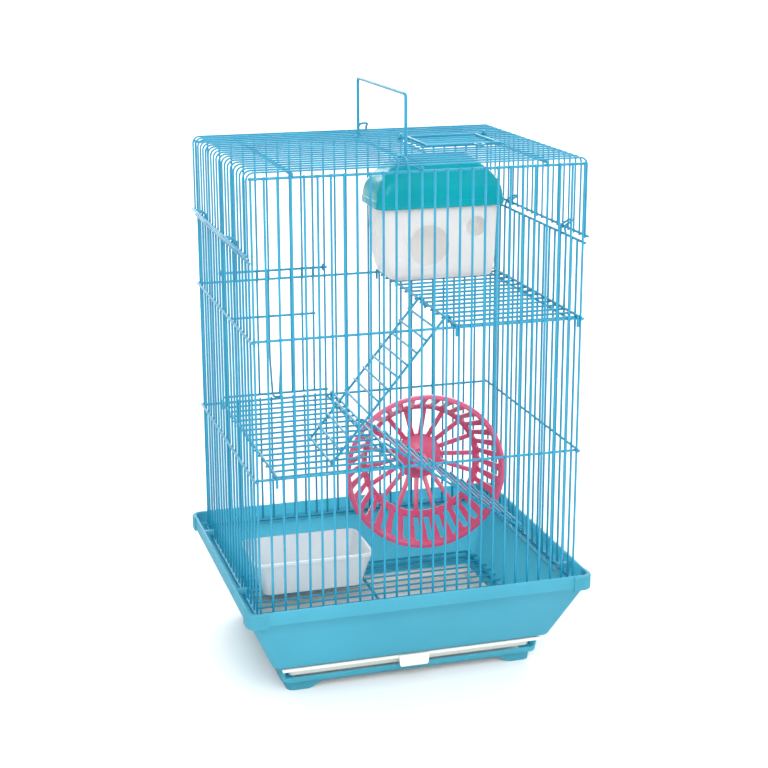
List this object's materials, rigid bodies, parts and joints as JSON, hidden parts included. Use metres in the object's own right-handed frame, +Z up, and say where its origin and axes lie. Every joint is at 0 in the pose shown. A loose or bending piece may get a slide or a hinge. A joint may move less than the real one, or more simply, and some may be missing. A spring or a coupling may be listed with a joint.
{
  "type": "small animal cage",
  "caption": "Wire cage for hamsters on a tapered plastic base, with slide tray, doors, shelves, ramps, running wheel, house, dish and carry handle.",
  "frame": {"origin": "centre of the base's footprint, on the surface that it stands on", "axes": "+Z up, -Y towards the front with the tray's finger tab, +X to the right seen from the front"},
  "size_m": [0.3034, 0.257, 0.5002],
  "materials": {
    "coated_wire": "gloss powder coat",
    "base_plastic": "satin moulded",
    "tray_plastic": "satin moulded",
    "wheel_plastic": "gloss moulded",
    "cap_plastic": "gloss moulded",
    "axle_steel": "bright",
    "house_plastic": "gloss moulded",
    "roof_plastic": "gloss moulded",
    "dish_plastic": "milky moulded"
  },
  "bodies": {
    "cage": {"base_tub": "base_plastic", "floor_grille": "coated_wire", "front_panel": "coated_wire", "back_panel": "coated_wire", "left_panel": "coated_wire", "right_panel": "coated_wire", "roof_panel": "coated_wire", "middle_shelf": "coated_wire", "upper_shelf": "coated_wire", "wheel_axle": "axle_steel", "axle_clip": "axle_steel", "wheel_bracket": "wheel_plastic", "house_body": "house_plastic"},
    "tray": {"slide_tray": "tray_plastic"},
    "rear_door": {"back_door": "coated_wire"},
    "top_door": {"roof_door": "coated_wire"},
    "handle": {"carry_handle": "coated_wire"},
    "ramp_up": {"upper_ramp": "coated_wire"},
    "ramp_low": {"lower_ramp": "coated_wire"},
    "wheel": {"running_wheel": "wheel_plastic", "wheel_hub_cap": "cap_plastic"},
    "house_lid": {"house_roof": "roof_plastic"},
    "dish": {"feeding_dish": "dish_plastic"}
  },
  "joints": [
    {"name": "tray_slide", "type": "slide", "parent": "cage", "child": "tray", "axis": [0, -1, 0], "range_m": [0, 0.185]},
    {"name": "back_door_swing", "type": "hinge", "parent": "cage", "child": "rear_door", "pos_m": [-0.06875, 0.11863, 0.3217], "axis": [1, 0, 0], "range_deg": [0, 150]},
    {"name": "roof_door_swing", "type": "hinge", "parent": "cage", "child": "top_door", "pos_m": [0.067, 0.03538, 0.4503], "axis": [-1, 0, 0], "range_deg": [0, 110]},
    {"name": "handle_swing", "type": "hinge", "parent": "cage", "child": "handle", "pos_m": [0, 0, 0.4458], "axis": [0, -1, 0], "range_deg": [-81, 84]},
    {"name": "upper_ramp_swing", "type": "hinge", "parent": "cage", "child": "ramp_up", "pos_m": [0.0294, -0.0555, 0.3175], "axis": [0, 1, 0], "range_deg": [0, 95]},
    {"name": "lower_ramp_swing", "type": "hinge", "parent": "cage", "child": "ramp_low", "pos_m": [-0.01594, -0.026, 0.2028], "axis": [0, -1, 0], "range_deg": [0, 75]},
    {"name": "wheel_spin", "type": "hinge", "parent": "cage", "child": "wheel", "pos_m": [0.056, 0.045, 0.1364], "axis": [0.165, 0.9863, 0], "continuous": true},
    {"name": "house_roof_lift", "type": "slide", "parent": "cage", "child": "house_lid", "axis": [0, 0, 1], "range_m": [0, 0.014]},
    {"name": "dish_lift", "type": "slide", "parent": "cage", "child": "dish", "axis": [0, 0, 1], "range_m": [0, 0.012]}
  ]
}
